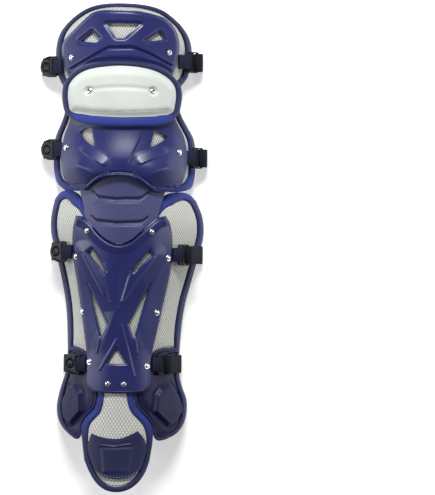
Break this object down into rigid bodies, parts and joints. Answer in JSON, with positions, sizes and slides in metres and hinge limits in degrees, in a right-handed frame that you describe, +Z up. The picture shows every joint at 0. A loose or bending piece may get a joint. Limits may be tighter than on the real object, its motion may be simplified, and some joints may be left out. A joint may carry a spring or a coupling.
{
  "type": "catcher leg guard",
  "caption": "Baseball catcher's leg guard: moulded thigh, knee and shin plates on padded mesh panels, with a padded knee bar, ankle wings, toe flap and elastic straps.",
  "frame": {"origin": "on the plane that the straps lie on, under the middle of the guard's bounding box", "axes": "+Y from the toe to the thigh, +Z up through the front of the guard, +X towards the side of the slides"},
  "size_m": [0.2174, 0.6242, 0.0927],
  "materials": {
    "shell_plastic": "satin navy moulding with a soft sheen",
    "flex_plastic": "satin, lighter navy",
    "cap_plastic": "satin navy",
    "binding_tape": "woven tape",
    "knit_mesh": "knitted spacer mesh over foam",
    "grey_leather": "smooth synthetic leather",
    "ankle_leather": "smooth synthetic leather",
    "black_plastic": "satin",
    "elastic": "ribbed elastic webbing",
    "webbing": "woven webbing",
    "rivet_chrome": "polished"
  },
  "bodies": {
    "root": {"ankle_binding_left": "binding_tape", "ankle_binding_right": "binding_tape", "ankle_pad_left": "ankle_leather", "ankle_pad_right": "ankle_leather", "flex_panel": "flex_plastic", "hook_ankle": "black_plastic", "hook_knee": "black_plastic", "hook_shin": "black_plastic", "hook_thigh": "black_plastic", "knee_binding": "binding_tape", "knee_flap": "grey_leather", "knee_flap_binding": "binding_tape", "knee_pad": "knit_mesh", "knee_shell": "shell_plastic", "ring_ankle": "black_plastic", "ring_knee": "black_plastic", "ring_shin": "black_plastic", "ring_thigh": "black_plastic", "rivet_flap_left": "rivet_chrome", "rivet_flap_right": "rivet_chrome", "rivet_knee_left": "rivet_chrome", "rivet_knee_right": "rivet_chrome", "rivet_shin_foot_left": "rivet_chrome", "rivet_shin_foot_right": "rivet_chrome", "rivet_shin_lower_left": "rivet_chrome", "rivet_shin_lower_right": "rivet_chrome", "rivet_shin_middle_left": "rivet_chrome", "rivet_shin_middle_right": "rivet_chrome", "rivet_shin_top_left": "rivet_chrome", "rivet_shin_top_right": "rivet_chrome", "rivet_shin_upper_left": "rivet_chrome", "rivet_shin_upper_right": "rivet_chrome", "rivet_thigh_left": "rivet_chrome", "rivet_thigh_right": "rivet_chrome", "shin_binding": "binding_tape", "shin_pad": "knit_mesh", "shin_shell": "shell_plastic", "slide_ankle": "black_plastic", "slide_knee": "black_plastic", "slide_shin": "black_plastic", "slide_thigh": "black_plastic", "strap_ankle": "elastic", "strap_knee": "elastic", "strap_shin": "elastic", "strap_thigh": "elastic", "tab_ankle_left": "webbing", "tab_ankle_right": "webbing", "tab_knee_left": "webbing", "tab_knee_right": "webbing", "tab_shin_left": "webbing", "tab_shin_right": "webbing", "tab_thigh_left": "webbing", "tab_thigh_right": "webbing", "thigh_binding": "binding_tape", "thigh_pad": "knit_mesh", "thigh_shell": "shell_plastic", "toe_binding": "binding_tape", "toe_cap": "cap_plastic", "toe_pad": "knit_mesh"}
  },
  "joints": []
}
